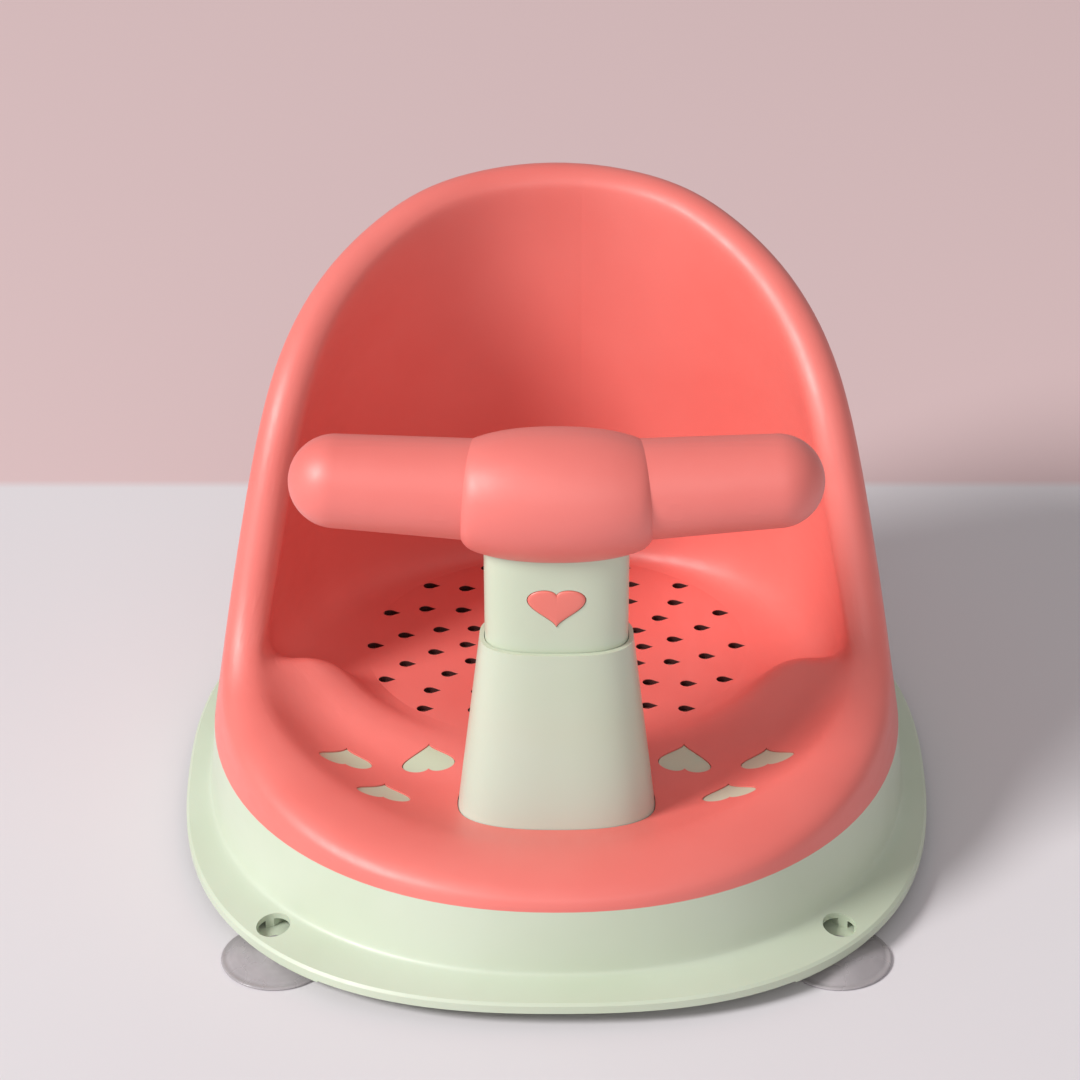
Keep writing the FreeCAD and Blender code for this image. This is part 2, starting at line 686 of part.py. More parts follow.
def make_base_rind():
    edge_top = FLANGE_BOTTOM + FLANGE_EDGE
    bevel_low = edge_top - FLANGE_EDGE_CHAMFER
    slab = skin_solid([rind_ring(0, 0, FLANGE_BOTTOM), rind_ring(0, 0, bevel_low)])
    bevel = skin_solid([rind_ring(0, 0, bevel_low), rind_ring(0, FLANGE_EDGE_CHAMFER, edge_top)])
    body = slab.multiFuse([bevel, skin_solid(rind_sweep(FLANGE_EDGE_CHAMFER, 0, 0))])
    body = body.cut(rind_hollow(RIND_WALL))
    tray_recess = [rind_ring(1, SHOULDER_WIDTH, TRAY_TOP), rind_ring(1, SHOULDER_WIDTH, SEAM_HEIGHT + CUT_OVERRUN)]
    body = body.cut(skin_solid(tray_recess))
    spigot_inset = SEAT_WALL + SPIGOT_GAP
    spigot_top = SEAM_HEIGHT + SPIGOT_HEIGHT
    spigot = skin_solid([
        rind_ring(1, spigot_inset, SEAM_HEIGHT - SPIGOT_GAP),
        rind_ring(1, spigot_inset + SPIGOT_TAPER + SIDE_LEAN_SHARE * SPIGOT_HEIGHT, spigot_top),
    ])
    spigot = spigot.cut(skin_solid([
        rind_ring(1, SHOULDER_WIDTH, SEAM_HEIGHT - CUT_OVERRUN),
        rind_ring(1, SHOULDER_WIDTH, spigot_top + CUT_OVERRUN),
    ]))
    inside = rind_hollow(RIND_WALL / 2)
    fittings = []
    for share in TRAY_RIB_PLACE_SHARES:
        y = share * SEAT_HALF_DEPTH
        low = V(-SEAT_HALF_WIDTH, y - TRAY_RIB_THICKNESS / 2, tray_bottom() - TRAY_RIB_DEPTH)
        high = V(SEAT_HALF_WIDTH, y + TRAY_RIB_THICKNESS / 2, tray_bottom())
        fittings.append(box(low, high))
    for x, y in cup_places():
        fittings.append(cylinder(LUG_RADIUS, V(x, y, LUG_BOTTOM), UP * LUG_THICKNESS))
        fittings.extend(gussets(x, y))
    fittings = [fitting.common(inside) for fitting in fittings]
    body = body.multiFuse([spigot] + fittings)
    return without(body, rind_openings())


def gussets(x, y):
    outward = V(x, y, 0).normalize()
    side = UP.cross(outward)
    walls = []
    for offset in (-GUSSET_SPACING, GUSSET_SPACING):
        middle = V(x, y, LUG_BOTTOM) + side * offset
        reach = outward * LUG_RADIUS
        half = side * (GUSSET_THICKNESS / 2)
        corners = [middle - reach - half, middle + reach - half, middle + reach + half, middle - reach + half]
        walls.append(prism(Part.makePolygon(corners + corners[:1]), UP * (tray_bottom() - LUG_BOTTOM) / 2))
    return walls


def rind_openings():
    tools = []
    through = UP * (TRAY_THICKNESS + 2 * CUT_OVERRUN)
    under_tray = tray_bottom() - CUT_OVERRUN
    for x, y in seat_boss_places() + sleeve_boss_places():
        tools.append(cylinder(SCREW_RADIUS + SCREW_HOLE_GAP, V(x, y, under_tray), through))
    for step in range(TRAY_DRAINS):
        angle = 2 * math.pi * (step + 1 / 2) / TRAY_DRAINS
        place = FLOOR_AXIS + V(math.cos(angle), math.sin(angle), 0) * TRAY_DRAIN_RING + UP * under_tray
        tools.append(cylinder(TRAY_DRAIN_RADIUS, place, through))
    tools.append(cylinder(TRAY_DRAIN_RADIUS, POST_AXIS + UP * under_tray, through))
    for x, y in cup_places():
        low = V(x, y, LUG_BOTTOM - CUT_OVERRUN)
        tools.append(cylinder(CUP_NECK_RADIUS + CUP_NECK_GAP, low, UP * (LUG_THICKNESS + 2 * CUT_OVERRUN)))
        room = UP * (SEATED_GAP + CUP_HEAD_HEIGHT + CUP_NECK_GAP)
        lug_top = V(x, y, LUG_BOTTOM + LUG_THICKNESS)
        tools.append(cylinder(CUP_HEAD_RADIUS + CUP_NECK_GAP, lug_top, room))
        # a window above the cup's neck, a little further out and nearer the middle
        side, end = math.copysign(1, x), math.copysign(1, y)
        sill = lug_top + V(side * CUP_WINDOW_SPREAD, -end * CUP_WINDOW_INSET, 0)
        tools.append(cylinder(CUP_WINDOW_RADIUS, sill, UP * (tray_bottom() - sill.z)))
    return tools


def make_suction_cup(x, y):
    belly = CUP_LIP_RADIUS * CUP_BELLY_RADIUS_SHARE
    shoulder = LUG_BOTTOM - SEATED_GAP
    neck_top = LUG_BOTTOM + LUG_THICKNESS + SEATED_GAP
    head_top = neck_top + CUP_HEAD_HEIGHT
    flat = CUP_LIP_RADIUS - CUP_LIP_FLAT

    def at(radius, height):
        return V(x + radius, y, height)

    def curve(start, middle, end):
        line = Part.BSplineCurve()
        line.interpolate([start, middle, end])
        return line.toShape()
    dome_height = blend(neck_top + CUP_HEAD_RIM, head_top, CUP_DOME_SHARE)
    edges = [
        curve(at(0, CUP_CROWN), at(belly, CUP_CROWN * CUP_BELLY_BOTTOM_SHARE), at(flat, 0)),
        Part.makeLine(at(flat, 0), at(CUP_LIP_RADIUS, 0)),
        Part.makeLine(at(CUP_LIP_RADIUS, 0), at(CUP_LIP_RADIUS, CUP_LIP_THICKNESS)),
        curve(
            at(CUP_LIP_RADIUS, CUP_LIP_THICKNESS), at(belly, LUG_BOTTOM * CUP_BELLY_TOP_SHARE),
            at(CUP_SHOULDER_RADIUS, shoulder)),
        Part.makeLine(at(CUP_SHOULDER_RADIUS, shoulder), at(CUP_NECK_RADIUS, shoulder)),
        Part.makeLine(at(CUP_NECK_RADIUS, shoulder), at(CUP_NECK_RADIUS, neck_top)),
        Part.makeLine(at(CUP_NECK_RADIUS, neck_top), at(CUP_HEAD_RADIUS, neck_top)),
        Part.makeLine(at(CUP_HEAD_RADIUS, neck_top), at(CUP_HEAD_RADIUS, neck_top + CUP_HEAD_RIM)),
        curve(
            at(CUP_HEAD_RADIUS, neck_top + CUP_HEAD_RIM), at(CUP_HEAD_RADIUS * CUP_DOME_SHARE, dome_height),
            at(0, head_top)),
        Part.makeLine(at(0, head_top), at(0, CUP_CROWN)),
    ]
    return Part.Face(Part.Wire(edges)).revolve(V(x, y, 0), UP, FULL_TURN_DEG)


# Post, bar, button and latch

def make_post_sleeve():
    body = post_solid(sleeve_half_sizes, TRAY_TOP, SLEEVE_MOUTH_HEIGHT)
    flange = post_solid(
        lambda height, margin: sleeve_half_sizes(TRAY_TOP, margin), TRAY_TOP,
        TRAY_TOP + SLEEVE_FLANGE_THICKNESS, SLEEVE_FLANGE_REACH)
    ceiling = socket_floor() - SOCKET_FLOOR
    hollow = post_solid(sleeve_half_sizes, TRAY_TOP - CUT_OVERRUN, ceiling, -SLEEVE_WALL)
    socket = post_solid(stem_half_sizes, socket_floor(), SLEEVE_MOUTH_HEIGHT + CUT_OVERRUN, RUNNING_GAP)
    bosses = []
    tools = [socket]
    for x, y in sleeve_boss_places():
        boss = cylinder(boss_radius(), V(x, y, TRAY_TOP), UP * SLEEVE_BOSS_HEIGHT)
        bosses.append(boss.common(body))
        tools.append(screw_hole(SLEEVE_BOSS_HEIGHT - BOSS_COVER, V(x, y, TRAY_TOP), UP))
    drain = POST_AXIS + UP * (ceiling - CUT_OVERRUN)
    tools.append(cylinder(SOCKET_DRAIN_RADIUS, drain, UP * (SOCKET_FLOOR + 2 * CUT_OVERRUN)))
    tools.append(hook_box(hook_tip() - HOOK_GAP, POST_Y - STEM_WALL, HOOK_GAP))
    body = body.fuse(flange).cut(hollow).multiFuse(bosses)
    return without(body, tools)


def make_guard_stem():
    body = post_solid(stem_half_sizes, stem_bottom(), stem_top())
    block_bottom = stem_top() - STEM_TOP_BLOCK
    hollow = post_solid(stem_half_sizes, stem_bottom() - CUT_OVERRUN, block_bottom, -STEM_WALL)
    boss_low = stem_bottom() + PLUG_HEIGHT + SEATED_GAP
    bosses = []
    tools = []
    for side in (1, -1):
        place = V(side * PLUG_SCREW_PLACE, POST_Y, boss_low)
        boss = cylinder(boss_radius(), place, UP * PLUG_BOSS_HEIGHT)
        web_half = BOSS_WALL / 2
        reach = (STEM_HALF_WIDTH - STEM_WALL / 2) * side
        low = V(min(place.x, reach), POST_Y - web_half, boss_low)
        web = box(low, V(max(place.x, reach), POST_Y + web_half, boss_low + PLUG_BOSS_HEIGHT))
        bosses.append(boss.fuse(web).common(body))
        tools.append(screw_hole(PLUG_BOSS_HEIGHT - BOSS_COVER, place, UP))
        block = V(side * BLOCK_SCREW_PLACE_SHARE * BARREL_HALF_LENGTH, POST_Y + STEM_HALF_DEPTH, BAR_HEIGHT)
        tools.append(screw_hole(BAR_SCREW_LENGTH - BLOCK_SEAT_THICKNESS, block, FRONT))
    tools.append(button_prism(BUTTON_WIDTH, RUNNING_GAP, POST_Y - STEM_WALL, STEM_HALF_DEPTH))
    tools.append(hook_box(POST_Y - STEM_HALF_DEPTH - CUT_OVERRUN, POST_Y - STEM_WALL * 2, HOOK_GAP))
    return without(body.cut(hollow).multiFuse(bosses), tools)


def button_prism(width, margin, back, depth):
    # a heart with its point down, from y = back towards the front
    centre = V(0, back, BUTTON_HEIGHT)
    length = BUTTON_LENGTH + 2 * margin
    return prism(heart_wire(width + 2 * margin, length, centre, RIGHT, -UP), FRONT * depth)


def make_heart_button():
    reach = STEM_HALF_DEPTH + BUTTON_PROUD
    low, high = BUTTON_HEIGHT - BUTTON_LENGTH, BUTTON_HEIGHT + BUTTON_LENGTH
    flange_back = POST_Y - STEM_HALF_DEPTH + STEM_WALL + RUNNING_GAP + BUTTON_FLANGE
    face = button_prism(BUTTON_WIDTH, 0, flange_back, reach)
    face = face.common(post_solid(stem_half_sizes, low, high, BUTTON_PROUD))
    front_edges = [edge for edge in face.Edges if edge.BoundBox.YMax < POST_Y - STEM_HALF_DEPTH + RUNNING_GAP]
    face = face.makeFillet(BUTTON_EDGE_RADIUS, front_edges)
    flange = button_prism(BUTTON_WIDTH, BUTTON_FLANGE_MARGIN, flange_back, STEM_HALF_DEPTH)
    flange = flange.common(post_solid(stem_half_sizes, low, high, -STEM_WALL - RUNNING_GAP))
    pad_back = POST_Y - TONGUE_FRONT - RUNNING_GAP
    pad_start = V(0, flange_back - BUTTON_FLANGE / 2, BUTTON_HEIGHT)
    pad = cylinder(BUTTON_PAD_RADIUS, pad_start, BACK * (pad_back - pad_start.y))
    return joined(face, [flange, pad])


def make_latch_tongue():
    front = POST_Y - TONGUE_FRONT
    root = stem_bottom() + PLUG_HEIGHT - TONGUE_ROOT
    low = V(-TONGUE_WIDTH / 2, front, root)
    leaf = box(low, V(TONGUE_WIDTH / 2, front + TONGUE_THICKNESS, BUTTON_HEIGHT + TONGUE_ABOVE_BUTTON))
    hook = hook_box(hook_tip(), front + TONGUE_THICKNESS / 2, 0)
    slope = HOOK_REACH + RUNNING_GAP
    toe = [
        V(0, hook_tip(), hook_height() - HOOK_HEIGHT / 2),
        V(0, hook_tip() + slope, hook_height() - HOOK_HEIGHT / 2),
        V(0, hook_tip(), hook_height() - HOOK_HEIGHT / 2 + slope),
    ]
    chamfer = prism(Part.makePolygon(toe + toe[:1]), RIGHT * HOOK_WIDTH)
    chamfer.translate(RIGHT * (-HOOK_WIDTH / 2))
    return joined(leaf, [hook.cut(chamfer)])


def make_stem_plug():
    top = stem_bottom() + PLUG_HEIGHT
    body = post_solid(stem_half_sizes, stem_bottom(), top, -STEM_WALL - SEATED_GAP)
    front = POST_Y - TONGUE_FRONT - SEATED_GAP
    low = V(-TONGUE_WIDTH / 2 - SEATED_GAP, front, top - TONGUE_ROOT)
    back = front + TONGUE_THICKNESS + 2 * SEATED_GAP
    slot = box(low, V(TONGUE_WIDTH / 2 + SEATED_GAP, back, top + CUT_OVERRUN))
    tools = [slot]
    for side in (1, -1):
        place = V(side * PLUG_SCREW_PLACE, POST_Y, stem_bottom() - CUT_OVERRUN)
        tools.append(cylinder(SCREW_RADIUS + SCREW_HOLE_GAP, place, UP * (PLUG_HEIGHT + 2 * CUT_OVERRUN)))
        recess = CUT_OVERRUN + SCREW_HEAD_HEIGHT + RUNNING_GAP
        tools.append(cylinder(SCREW_HEAD_RADIUS + SCREW_HOLE_GAP, place, UP * recess))
    return without(body, tools)


def make_button_spring():
    start = POST_Y - TONGUE_FRONT + TONGUE_THICKNESS + SEATED_GAP + SPRING_WIRE_RADIUS
    end = POST_Y + STEM_HALF_DEPTH - STEM_WALL - SEATED_GAP - SPRING_WIRE_RADIUS - STEM_DRAFT
    radius = SPRING_RADIUS - SPRING_WIRE_RADIUS
    helix = Part.makeHelix((end - start) / SPRING_TURNS, end - start, radius)
    profile = Part.Wire([Part.makeCircle(SPRING_WIRE_RADIUS, V(radius, 0, 0), BACK)])
    coil = Part.Wire(helix.Edges).makePipeShell([profile], True, True)
    coil.rotate(V(0, 0, 0), RIGHT, -HALF_TURN_DEG / 2)
    coil.translate(V(0, start, BUTTON_HEIGHT))
    return coil


def bar_centre():
    return V(0, POST_Y, BAR_HEIGHT)


def barrel(inset):
    half, end, middle = BARREL_HALF_LENGTH - inset, BARREL_END_RADIUS - inset, BARREL_RADIUS - inset
    centre = bar_centre()
    left, right = centre - RIGHT * half, centre + RIGHT * half
    one_side = [(along * half, blend(end, middle, swell)) for along, swell in BARREL_OUTLINE_SHARES]
    other_side = [(-along, radius) for along, radius in reversed(one_side[1:])]
    outline = Part.BSplineCurve()
    outline.interpolate([centre + RIGHT * along + UP * radius for along, radius in other_side + one_side])
    edges = [
        Part.makeLine(left, left + UP * end), outline.toShape(), Part.makeLine(right + UP * end, right),
        Part.makeLine(right, left),
    ]
    return Part.Face(Part.Wire(edges)).revolve(centre, RIGHT, FULL_TURN_DEG)


def arm(inset):
    centre = bar_centre()
    start = centre + RIGHT * (BARREL_HALF_LENGTH * ARM_START_SHARE)
    ball = centre + RIGHT * (ARM_REACH - ARM_END_RADIUS)
    root, end = ARM_ROOT_RADIUS - inset, ARM_END_RADIUS - inset
    slant = (RIGHT + UP).normalize() * end
    edges = [
        Part.makeLine(start, start + UP * root),
        Part.makeLine(start + UP * root, ball + UP * end),
        Part.Arc(ball + UP * end, ball + slant, ball + RIGHT * end).toShape(),
        Part.makeLine(ball + RIGHT * end, start),
    ]
    solid = Part.Face(Part.Wire(edges)).revolve(centre, RIGHT, FULL_TURN_DEG)
    solid.rotate(centre, BACK, -ARM_LIFT_DEG)
    solid.rotate(centre, UP, ARM_SWEEP_DEG)
    return solid


def bar_solid(inset):
    right = arm(inset)
    return joined(barrel(inset), [right, mirrored_x(right)])


def bar_screw_seats():
    # where each bar screw's head bears: first the arms' screws, then the two in the stem's block
    seats = []
    for share in ARM_SCREW_PLACE_SHARES:
        x = share * ARM_REACH
        height = BAR_HEIGHT + x * math.tan(math.radians(ARM_LIFT_DEG))
        seats.append(V(x, POST_Y + BAR_SEAT_THICKNESS, height))
    block_back = POST_Y + STEM_HALF_DEPTH + SEATED_GAP + BLOCK_SEAT_THICKNESS
    seats.append(V(BLOCK_SCREW_PLACE_SHARE * BARREL_HALF_LENGTH, block_back, BAR_HEIGHT))
    return seats + [V(-seat.x, seat.y, seat.z) for seat in seats]


def counterbores(outer):
    # the wells behind the bar screws' heads, trimmed to the bar's own surface
    wells = []
    for seat in bar_screw_seats():
        well = cylinder(SCREW_HEAD_RADIUS + SCREW_HOLE_GAP, seat, BACK * (BARREL_RADIUS * 2))
        wells.append(well.common(outer))
    return wells


def make_bar_shells(outer):
    reach = ARM_REACH * 2
    shell = outer.cut(bar_solid(BAR_WALL))
    stem_room = post_solid(stem_half_sizes, BAR_HEIGHT - BARREL_RADIUS - CUT_OVERRUN, stem_top(), SEATED_GAP)
    low, high = BAR_HEIGHT - reach, BAR_HEIGHT + reach
    front_half = box(V(-reach, POST_Y - reach, low), V(reach, POST_Y, high))
    rear_half = box(V(-reach, POST_Y, low), V(reach, POST_Y + reach, high))
    front_bosses, rear_bosses, front_tools, rear_tools = [], [], [stem_room], [stem_room]
    well_radius = SCREW_HEAD_RADIUS + SCREW_HOLE_GAP + BOSS_WALL / 2
    for seat in bar_screw_seats():
        in_arm = seat.y < POST_Y + STEM_HALF_DEPTH
        start = V(seat.x, POST_Y if in_arm else seat.y - BLOCK_SEAT_THICKNESS, seat.z)
        rear_bosses.append(cylinder(well_radius, start, BACK * (BARREL_RADIUS * 2)).common(outer))
        clear = cylinder(SCREW_RADIUS + SCREW_HOLE_GAP, start + FRONT * CUT_OVERRUN, BACK * BARREL_RADIUS)
        rear_tools.append(clear)
        if in_arm:
            front_bosses.append(cylinder(boss_radius(), start, FRONT * (BARREL_RADIUS * 2)).common(outer))
            front_tools.append(screw_hole(BAR_SCREW_LENGTH - BAR_SEAT_THICKNESS, start, FRONT))
    for seat in bar_screw_seats():
        rear_tools.append(cylinder(SCREW_HEAD_RADIUS + SCREW_HOLE_GAP, seat, BACK * (BARREL_RADIUS * 2)))
    front = without(shell.common(front_half).multiFuse(front_bosses), front_tools)
    rear = without(shell.common(rear_half).multiFuse(rear_bosses), rear_tools)
    return front, rear


def make_bar_screw_caps(outer):
    # plugs that close the wells flush with the bar's surface
    caps = []
    for seat, well in zip(bar_screw_seats(), counterbores(outer)):
        face = well.BoundBox.YMax
        plug = cylinder(SCREW_HEAD_RADIUS + SCREW_HOLE_GAP - SEATED_GAP, V(seat.x, face - CAP_THICKNESS, seat.z),
                        BACK * (CAP_THICKNESS + CUT_OVERRUN))
        caps.append(plug.common(outer))
    return Part.makeCompound(caps)


def make_seat_screws():
    places = seat_boss_places()
    return Part.makeCompound([screw(SEAT_SCREW_LENGTH, V(x, y, tray_bottom()), UP) for x, y in places])


def make_sleeve_screws():
    places = sleeve_boss_places()
    return Part.makeCompound([screw(SLEEVE_SCREW_LENGTH, V(x, y, tray_bottom()), UP) for x, y in places])


def make_plug_screws():
    seat = stem_bottom() + SCREW_HEAD_HEIGHT + RUNNING_GAP
    places = [V(side * PLUG_SCREW_PLACE, POST_Y, seat) for side in (1, -1)]
    return Part.makeCompound([screw(PLUG_SCREW_LENGTH, place, UP) for place in places])


def make_bar_screws():
    return Part.makeCompound([screw(BAR_SCREW_LENGTH, seat, FRONT) for seat in bar_screw_seats()])


def write(name, shape):
    shape.exportStep(os.path.join("parts", name + ".step"))
    print(name, "solids", len(shape.Solids), "volume", round(shape.Volume), "valid", shape.isValid())


def main():
    os.makedirs("parts", exist_ok=True)
    rows = seat_rows()
    write("base_rind", make_base_rind())
    write("seat_shell", make_seat_shell(rows))
    write("heart_inserts", make_heart_inserts(rows))
    names = ("front_left", "front_right", "rear_left", "rear_right")
    for name, (x, y) in zip(names, cup_places()):
        write("suction_cup_" + name, make_suction_cup(x, y))
    write("seat_screws", make_seat_screws())
    write("post_sleeve", make_post_sleeve())
    write("sleeve_screws", make_sleeve_screws())
    write("guard_stem", make_guard_stem())
    write("stem_plug", make_stem_plug())
    write("plug_screws", make_plug_screws())
    write("latch_tongue", make_latch_tongue())
    write("button_spring", make_button_spring())
    write("heart_button", make_heart_button())
    outer = bar_solid(0)
    front, rear = make_bar_shells(outer)
    write("bar_front_shell", front)
    write("bar_rear_shell", rear)
    write("bar_screws", make_bar_screws())
    write("bar_screw_caps", make_bar_screw_caps(outer))


main()
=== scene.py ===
# %% [markdown]
# # A baby bath seat, dressed for its picture
# The seat arrives as a packed engineering model: every piece already has its true place and size.
# This lesson gives each piece the finish of the real one, remakes a few small pieces whose softness
# the solids can't carry, and then sets up a plain studio around it.

# %% Load the frame
import math

import bmesh
import bpy
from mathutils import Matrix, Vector


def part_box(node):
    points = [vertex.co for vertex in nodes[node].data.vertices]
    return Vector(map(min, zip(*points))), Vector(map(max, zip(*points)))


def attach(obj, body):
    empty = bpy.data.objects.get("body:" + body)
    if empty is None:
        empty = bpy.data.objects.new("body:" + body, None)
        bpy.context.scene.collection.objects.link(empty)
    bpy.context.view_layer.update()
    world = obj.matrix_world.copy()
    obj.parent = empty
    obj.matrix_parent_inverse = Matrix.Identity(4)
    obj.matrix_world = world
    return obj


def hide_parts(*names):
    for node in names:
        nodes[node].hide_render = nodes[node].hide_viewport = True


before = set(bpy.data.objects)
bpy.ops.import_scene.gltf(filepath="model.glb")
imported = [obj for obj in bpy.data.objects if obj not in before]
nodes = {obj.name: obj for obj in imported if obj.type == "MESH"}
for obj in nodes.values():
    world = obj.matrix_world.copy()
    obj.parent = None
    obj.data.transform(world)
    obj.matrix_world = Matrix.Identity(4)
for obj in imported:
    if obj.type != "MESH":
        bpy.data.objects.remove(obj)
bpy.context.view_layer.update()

MM = 0.001
SEAT_FLOOR_CENTRE_Y = 42.0 * MM
SEAT_FLOOR_HEIGHT = 56.0 * MM
SEAT_FLOOR_TILT_DEG = 3.6
SEAT_FLOOR_RADIUS = 91.0 * MM
SEED_WALL_TOP = 0.35 * MM
SEED_WALL_BOTTOM = 2.9 * MM
FOOT_HEIGHT = 63.0 * MM
FOOT_FADE = 45.0 * MM
print("pieces in the frame:", len(nodes))

# %% [markdown]
# ## Colours
# Blender's shaders want linear light values, while colours are easier to judge as they look on a
# screen. One small helper turns the looks of a colour, from 0 to 255, into the values for a shader.

# %% A colour as it looks on a screen
def screen_colour(red, green, blue):
    def linear(value):
        share = value / 255
        return share / 12.92 if share <= 0.04045 else ((share + 0.055) / 1.055) ** 2.4
    return (linear(red), linear(green), linear(blue), 1.0)


CORAL = screen_colour(237, 122, 113)
CORAL_DEEP = screen_colour(232, 112, 103)
RIND_GREEN = screen_colour(204, 214, 193)
RIND_GREEN_DEEP = screen_colour(196, 207, 183)
# painted shade: a near-black brown for the walls of the seed-shaped drain holes, where the holes lie in
# shadow
SEED_HOLE_PAINTED_SHADE = screen_colour(66, 22, 20)
# painted light: a greener tone for the foot of the lower post that cancels the red light bounced onto it
# from the coral deck
FOOT_TINT_AGAINST_BOUNCE = screen_colour(197, 217, 200)
print("coral in linear light:", [round(v, 3) for v in CORAL[:3]])

# %% [markdown]
# ## A starting point for every finish
# Each finish is a node tree around one Principled shader. The patterns read Object coordinates,
# which are metres on the seat, so a pattern of 400 has features of about 2.5 mm on every piece.

# %% A new finish and its small helpers
def new_finish(name):
    finish = bpy.data.materials.new(name)
    finish.use_nodes = True
    tree = finish.node_tree
    shader = tree.nodes["Principled BSDF"]
    place = tree.nodes.new("ShaderNodeTexCoord")
    return finish, tree, shader, place.outputs["Object"]


def noise(tree, place, scale, detail=2.0, stretch=None):
    if stretch:
        mapping = tree.nodes.new("ShaderNodeMapping")
        mapping.inputs["Scale"].default_value = stretch
        tree.links.new(place, mapping.inputs["Vector"])
        place = mapping.outputs["Vector"]
    texture = tree.nodes.new("ShaderNodeTexNoise")
    texture.inputs["Scale"].default_value = scale
    texture.inputs["Detail"].default_value = detail
    tree.links.new(place, texture.inputs["Vector"])
    return texture.outputs["Fac"]


def spread(tree, value, low, high, to_low=0.0, to_high=1.0):
    node = tree.nodes.new("ShaderNodeMapRange")
    for name, setting in (("From Min", low), ("From Max", high), ("To Min", to_low), ("To Max", to_high)):
        node.inputs[name].default_value = setting
    tree.links.new(value, node.inputs["Value"])
    return node.outputs["Result"]


def mixed(tree, share, first, second):
    node = tree.nodes.new("ShaderNodeMix")
    node.data_type = "RGBA"
    tree.links.new(share, node.inputs["Factor"])
    for socket, colour in ((node.inputs[6], first), (node.inputs[7], second)):
        if isinstance(colour, tuple):
            socket.default_value = colour
        else:
            tree.links.new(colour, socket)
    return node.outputs[2]


def maths(tree, kind, *values):
    node = tree.nodes.new("ShaderNodeMath")
    node.operation = kind
    for socket, value in zip(node.inputs, values):
        if isinstance(value, (int, float)):
            socket.default_value = value
        else:
            tree.links.new(value, socket)
    return node.outputs["Value"]


def bumps(tree, shader, layers):
    normal = None
    for height, strength, depth in layers:
        node = tree.nodes.new("ShaderNodeBump")
        node.inputs["Strength"].default_value = strength
        node.inputs["Distance"].default_value = depth
        tree.links.new(height, node.inputs["Height"])
        if normal:
            tree.links.new(normal, node.inputs["Normal"])
        normal = node.outputs["Normal"]
    tree.links.new(normal, shader.inputs["Normal"])


# %% [markdown]
# ## Moulded plastic
# The seat and its base are injection moulded polypropylene. Such a surface is satin: a very fine
# spark grain from the mould, a faint orange peel where the melt cooled, and a colour that is a
# touch uneven over a hand's width. A little light also travels inside the plastic, which softens
# the shadow edges, so the finish has a small amount of subsurface scattering.

# %% The moulded plastic finish
PLASTIC_IOR = 1.49
PLASTIC_COAT = 0.6
GLOW_DEPTH = 4.0 * MM
GLOW_REACH = (1.0, 0.5, 0.35)


def moulded_plastic(
        name, colour, deeper, roughness, grain=0.10, glow=0.06, paint=None, painted_light_tone=SEED_HOLE_PAINTED_SHADE):
    finish, tree, shader, place = new_finish(name)
    drift = spread(tree, noise(tree, place, 11.0, 3.0), 0.35, 0.65)
    streaks = spread(tree, noise(tree, place, 34.0, 2.0, (1.0, 1.0, 0.12)), 0.4, 0.7)
    base = mixed(tree, drift, colour, deeper)
    cloudy = tuple(0.5 * (a + b) for a, b in zip(colour, deeper))
    faint = spread(tree, streaks, 0.0, 1.0, 0.0, 0.35)
    skin = mixed(tree, faint, base, cloudy)
    # painted light: the mask lays painted shade in the seed holes, or a tint against bounced red light at
    # the post's foot
    if paint:
        skin = mixed(tree, paint(tree, place), skin, painted_light_tone)
    tree.links.new(skin, shader.inputs["Base Color"])
    scuffs = noise(tree, place, 160.0, 4.0, (1.0, 0.25, 1.0))
    satin = spread(tree, scuffs, 0.3, 0.75, roughness - 0.05, roughness + 0.07)
    tree.links.new(satin, shader.inputs["Roughness"])
    shader.inputs["IOR"].default_value = PLASTIC_IOR
    shader.inputs["Specular IOR Level"].default_value = 0.62
    shader.inputs["Coat Weight"].default_value = PLASTIC_COAT
    shader.inputs["Coat Roughness"].default_value = 0.5
    shader.inputs["Subsurface Weight"].default_value = glow
    shader.inputs["Subsurface Scale"].default_value = GLOW_DEPTH
    shader.inputs["Subsurface Radius"].default_value = GLOW_REACH
    peel = noise(tree, place, 210.0, 1.5)
    spark = noise(tree, place, 2600.0, 2.0)
    bumps(tree, shader, [(peel, 0.05, 0.0004), (spark, grain, 0.0001)])
    return finish


def painted_shade_in_seed_holes(tree, place):
    # 1 on the walls of the seed-shaped drain holes, which lie just below the plane of the seat's floor;
    # those walls get painted shade, so the holes look dark
    parts = tree.nodes.new("ShaderNodeSeparateXYZ")
    tree.links.new(place, parts.inputs["Vector"])
    behind = maths(tree, "SUBTRACT", parts.outputs["Y"], SEAT_FLOOR_CENTRE_Y)
    slope = -math.tan(math.radians(SEAT_FLOOR_TILT_DEG))
    plane = maths(tree, "MULTIPLY_ADD", behind, slope, SEAT_FLOOR_HEIGHT)
    depth = maths(tree, "SUBTRACT", plane, parts.outputs["Z"])
    across_squared = maths(tree, "POWER", parts.outputs["X"], 2.0)
    squares = maths(tree, "ADD", across_squared, maths(tree, "POWER", behind, 2.0))
    near = maths(tree, "LESS_THAN", squares, SEAT_FLOOR_RADIUS ** 2)
    below_top = maths(tree, "GREATER_THAN", depth, SEED_WALL_TOP)
    above_bottom = maths(tree, "LESS_THAN", depth, SEED_WALL_BOTTOM)
    return maths(tree, "MULTIPLY", maths(tree, "MULTIPLY", below_top, above_bottom), near)


def painted_tint_against_bounce_at_foot(tree, place):
    # 1 at the foot of the lower post, where the coral deck throws red light on it, and 0 from halfway up;
    # there the tone is painted light, a greener tint that cancels that red bounce
    parts = tree.nodes.new("ShaderNodeSeparateXYZ")
    tree.links.new(place, parts.inputs["Vector"])
    return spread(tree, parts.outputs["Z"], FOOT_HEIGHT, FOOT_HEIGHT + FOOT_FADE, 1.0, 0.0)
